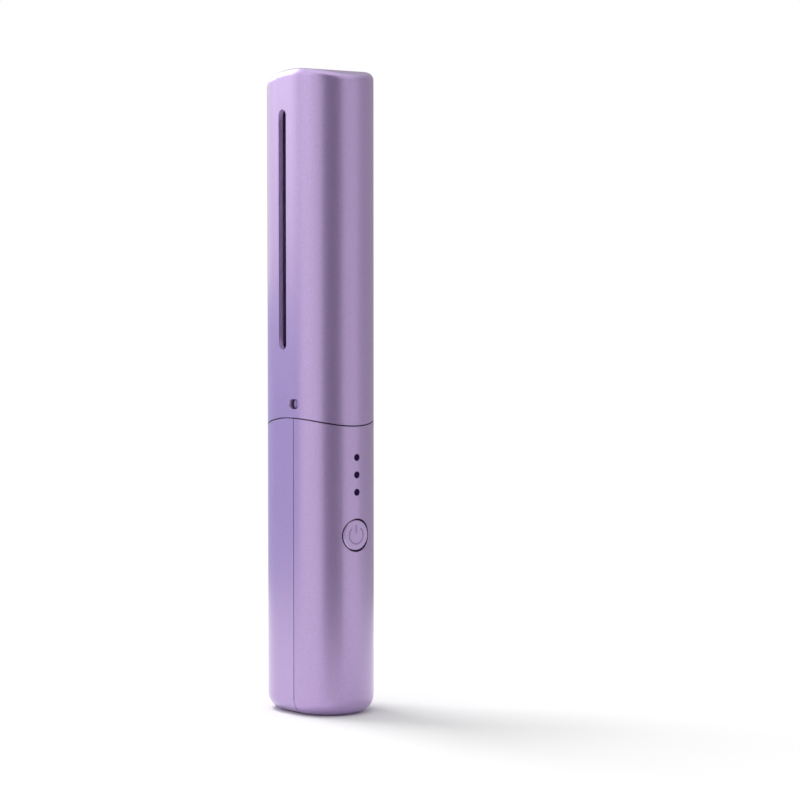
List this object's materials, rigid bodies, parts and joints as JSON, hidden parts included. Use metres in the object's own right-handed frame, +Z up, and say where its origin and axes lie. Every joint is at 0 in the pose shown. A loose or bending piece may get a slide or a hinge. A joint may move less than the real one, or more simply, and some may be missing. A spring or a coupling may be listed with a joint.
{
  "type": "hair straightening brush",
  "caption": "Cordless heated hair comb: a slim oval handle with a front power button, a toothed heater comb and a pull-off protective cap with side vents.",
  "frame": {"origin": "centre of the handle's foot, on the surface that it stands on", "axes": "+Z up along the handle to the cap's top, -Y towards the power button, +Y the way the comb's teeth point, X across the narrow width"},
  "size_m": [0.0286, 0.036, 0.2],
  "materials": {
    "lilac_shell": "satin metallic lilac paint on moulded plastic",
    "heater_black": "black anodised, matte",
    "element_metal": "aluminium-cased ceramic element, matte",
    "bright_steel": "plain bright steel",
    "fuse_metal": "bright can",
    "sensor_glass": "amber glass bead",
    "black_plastic": "moulded black",
    "coil_ferrite": "ferrite, matte",
    "pad_white": "heat-resistant board",
    "board_green": "solder mask",
    "cell_sleeve": "blue shrink sleeve over a metal can",
    "foam_grey": "closed-cell foam",
    "lens_dark": "dark smoked, polished ends",
    "led_white": "moulded",
    "lead_sleeve": "silicone sleeve"
  },
  "bodies": {
    "handle": {"handle_front_shell": "lilac_shell", "handle_back_shell": "lilac_shell", "comb_body": "lilac_shell", "comb_spine_cover": "lilac_shell", "heater_block": "heater_black", "heating_element": "element_metal", "element_clamp": "bright_steel", "board_screws": "bright_steel", "frame_screws": "bright_steel", "usb_socket": "bright_steel", "battery_tabs": "bright_steel", "thermal_fuse": "fuse_metal", "temperature_sensor": "sensor_glass", "heat_shield": "black_plastic", "inner_frame": "black_plastic", "tact_switch": "black_plastic", "controller_chip": "black_plastic", "heater_driver": "black_plastic", "usb_tongue": "black_plastic", "charge_coil": "coil_ferrite", "heater_pad": "pad_white", "main_board": "board_green", "battery_cell": "cell_sleeve", "battery_foam": "foam_grey", "light_guide": "lens_dark", "indicator_leds": "led_white", "heater_leads": "lead_sleeve"},
    "cap": {"protective_cap": "lilac_shell"},
    "button": {"power_button": "lilac_shell", "switch_plunger": "black_plastic"}
  },
  "joints": [
    {"name": "cap_slide", "type": "slide", "parent": "handle", "child": "cap", "axis": [0, 0, 1], "range_m": [0, 0.115]},
    {"name": "button_press", "type": "slide", "parent": "handle", "child": "button", "axis": [0, 1, 0], "range_m": [0, 0.0005], "stiffness_N_per_m": 800, "springref_m": -0.001}
  ]
}
